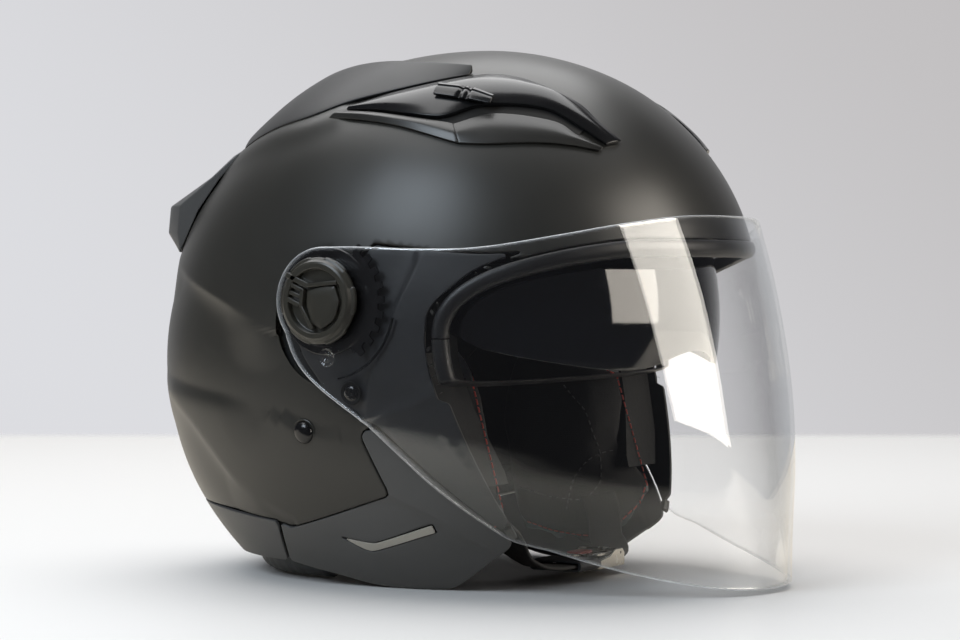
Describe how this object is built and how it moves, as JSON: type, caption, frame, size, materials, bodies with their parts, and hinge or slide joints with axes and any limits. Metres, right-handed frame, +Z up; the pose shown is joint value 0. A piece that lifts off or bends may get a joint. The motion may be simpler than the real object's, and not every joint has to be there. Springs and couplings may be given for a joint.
{
  "type": "motorcycle helmet",
  "caption": "Open-face motorcycle helmet with a long clear tilting shield, drop-down smoked sun visor, roof vents, padded lining and chin strap with ratchet buckle.",
  "frame": {"origin": "centre of the bounding box in plan, on the surface the helmet stands on", "axes": "the helmet faces -Y, the wearer's left side is +X, +Z is up"},
  "size_m": [0.2772, 0.3459, 0.2706],
  "materials": {
    "shell": "satin black paint over a moulded shell",
    "trim": "satin dark grey moulded trim",
    "plate": "fine grained charcoal plastic",
    "foam": "black expanded polystyrene beads",
    "lining": "black brushed knit and air mesh",
    "rubber": "black satin gasket rubber",
    "clear": "clear hard-coated polycarbonate",
    "smoke": "dark smoked polycarbonate",
    "gloss": "smooth black plastic",
    "metal": "pressed zinc-plated steel",
    "webbing": "black woven polyester webbing",
    "red": "red woven pull tab",
    "accent": "pale grey reflective strip"
  },
  "bodies": {
    "root": {"outer_shell": "shell", "eps_liner": "foam", "crown_lining": "lining", "cheek_pad_left": "lining", "cheek_pad_right": "lining", "neck_roll": "lining", "eye_port_gasket": "rubber", "side_plate_left": "plate", "side_plate_right": "plate", "side_plate_screw_left": "gloss", "side_plate_screw_right": "gloss", "cheek_trim_left": "trim", "cheek_trim_right": "trim", "cheek_accent_left": "accent", "cheek_accent_right": "accent", "rear_trim": "trim", "rear_spoiler": "trim", "rear_fairing_left": "trim", "rear_fairing_right": "trim", "top_vent_base_left": "gloss", "top_vent_base_right": "gloss", "top_vent_cover_left": "trim", "top_vent_cover_right": "trim", "pivot_base_left": "plate", "pivot_base_right": "plate", "sun_visor_pin_left": "metal", "sun_visor_pin_right": "metal", "strap_rivet_left": "gloss", "strap_rivet_right": "gloss", "strap_anchor_plate_left": "metal", "strap_anchor_plate_right": "metal", "chin_strap_left": "webbing", "chin_strap_right": "webbing", "chin_strap_sleeve": "lining", "buckle_body": "metal"},
    "shield": {"shield": "clear"},
    "pivot_dial_left": {"pivot_dial_left": "gloss"},
    "pivot_dial_right": {"pivot_dial_right": "gloss"},
    "sun_visor": {"sun_visor": "smoke"},
    "sun_visor_slider": {"sun_visor_slider": "gloss"},
    "vent_slider_left": {"vent_slider_left": "gloss"},
    "vent_slider_right": {"vent_slider_right": "gloss"},
    "buckle_lever": {"buckle_lever": "metal", "buckle_pull_tab": "red"},
    "ratchet_strip": {"ratchet_strip": "gloss"}
  },
  "joints": [
    {"name": "shield_tilt", "type": "hinge", "parent": "root", "child": "shield", "pos_m": [0, 0.01, 0.142], "axis": [-1, 0, 0], "range_deg": [0, 70]},
    {"name": "pivot_dial_right_turn", "type": "hinge", "parent": "root", "child": "pivot_dial_right", "pos_m": [-0.1355, 0.01, 0.142], "axis": [-1, 0, 0], "range_deg": [0, 45]},
    {"name": "pivot_dial_left_turn", "type": "hinge", "parent": "root", "child": "pivot_dial_left", "pos_m": [0.1355, 0.01, 0.142], "axis": [1, 0, 0], "range_deg": [0, 45]},
    {"name": "sun_visor_drop", "type": "hinge", "parent": "root", "child": "sun_visor", "pos_m": [0, 0.008, 0.133], "axis": [-1, 0, 0], "range_deg": [0, 35]},
    {"name": "sun_visor_slider_travel", "type": "slide", "parent": "root", "child": "sun_visor_slider", "axis": [0.1219, -0.9925, 0], "range_m": [0, 0.015]},
    {"name": "vent_slider_right_travel", "type": "slide", "parent": "root", "child": "vent_slider_right", "axis": [-0.1153, 0.9719, 0.2053], "range_m": [-0.003, 0.003]},
    {"name": "vent_slider_left_travel", "type": "slide", "parent": "root", "child": "vent_slider_left", "axis": [0.1153, 0.9719, 0.2053], "range_m": [-0.003, 0.003]},
    {"name": "buckle_lever_lift", "type": "hinge", "parent": "root", "child": "buckle_lever", "pos_m": [0.0305, -0.058, 0.0104], "axis": [0, 1, 0], "range_deg": [0, 50], "stiffness_Nm_per_rad": 0.02},
    {"name": "ratchet_strip_travel", "type": "slide", "parent": "root", "child": "ratchet_strip", "axis": [1, 0, 0], "range_m": [-0.009, 0.005]}
  ],
  "couplings": [
    {"joint": "sun_visor_slider_travel", "follows": "sun_visor_drop", "m_per_rad": 0.02455}
  ]
}
